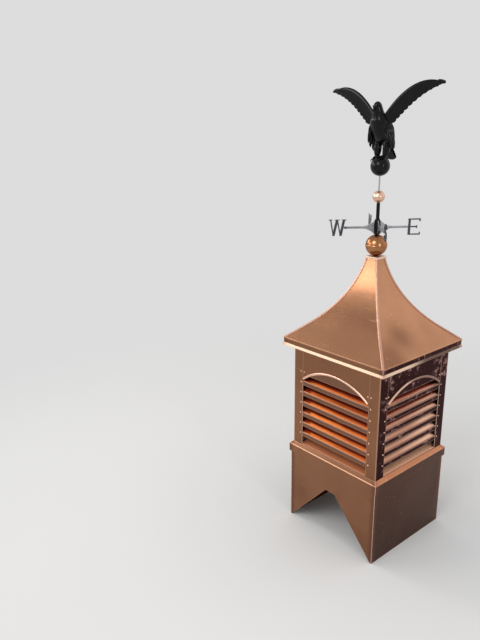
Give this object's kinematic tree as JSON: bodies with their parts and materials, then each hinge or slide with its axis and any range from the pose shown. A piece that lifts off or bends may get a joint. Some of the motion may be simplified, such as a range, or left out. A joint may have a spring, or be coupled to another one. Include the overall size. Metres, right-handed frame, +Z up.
{
  "type": "barn cupola",
  "caption": "Louvered copper barn cupola with a ridge-notched skirt, arched sides, a swept pyramid roof, a compass finial and a turning bird weathervane.",
  "frame": {"origin": "middle of the base skirt, on the level that its lower edges rest on", "axes": "+Z up the mast, -Y out of the notched face seen at the left of the picture, +X out of the plain face at the right"},
  "size_m": [0.5308, 0.5308, 1.8769],
  "materials": {
    "copper": "satin mill copper",
    "dark_copper": "satin mill copper, darker",
    "black_paint": "gloss black",
    "cast_aluminium": "cast, brushed faces",
    "steel": "plain rod"
  },
  "bodies": {
    "cupola": {"front_skirt": "copper", "back_skirt": "copper", "left_skirt": "copper", "right_skirt": "copper", "base_collar": "copper", "front_left_post": "copper", "front_right_post": "copper", "back_right_post": "copper", "back_left_post": "copper", "front_arch_panel": "copper", "right_arch_panel": "copper", "back_arch_panel": "copper", "left_arch_panel": "copper", "front_louvers": "dark_copper", "right_louvers": "dark_copper", "back_louvers": "dark_copper", "left_louvers": "dark_copper", "arch_beads": "copper", "louver_sills": "copper", "eave_soffit": "dark_copper", "eave_fascia": "copper", "front_roof": "copper", "right_roof": "copper", "back_roof": "copper", "left_roof": "copper", "hip_seams": "copper", "roof_cap": "copper", "large_ball": "dark_copper", "compass_hub": "black_paint", "spacer_tube": "black_paint", "small_ball": "copper", "mast_rod": "steel", "north_arm": "cast_aluminium", "east_arm": "cast_aluminium", "south_arm": "cast_aluminium", "west_arm": "cast_aluminium"},
    "vane": {"vane_globe": "black_paint", "bird_body": "black_paint", "bird_left_leg": "black_paint", "bird_right_leg": "black_paint", "bird_tail": "black_paint", "bird_left_wing": "black_paint", "bird_right_wing": "black_paint"}
  },
  "joints": [
    {"name": "vane_spin", "type": "hinge", "parent": "cupola", "child": "vane", "pos_m": [0, 0, 1.57], "axis": [0, 0, 1], "continuous": true}
  ]
}
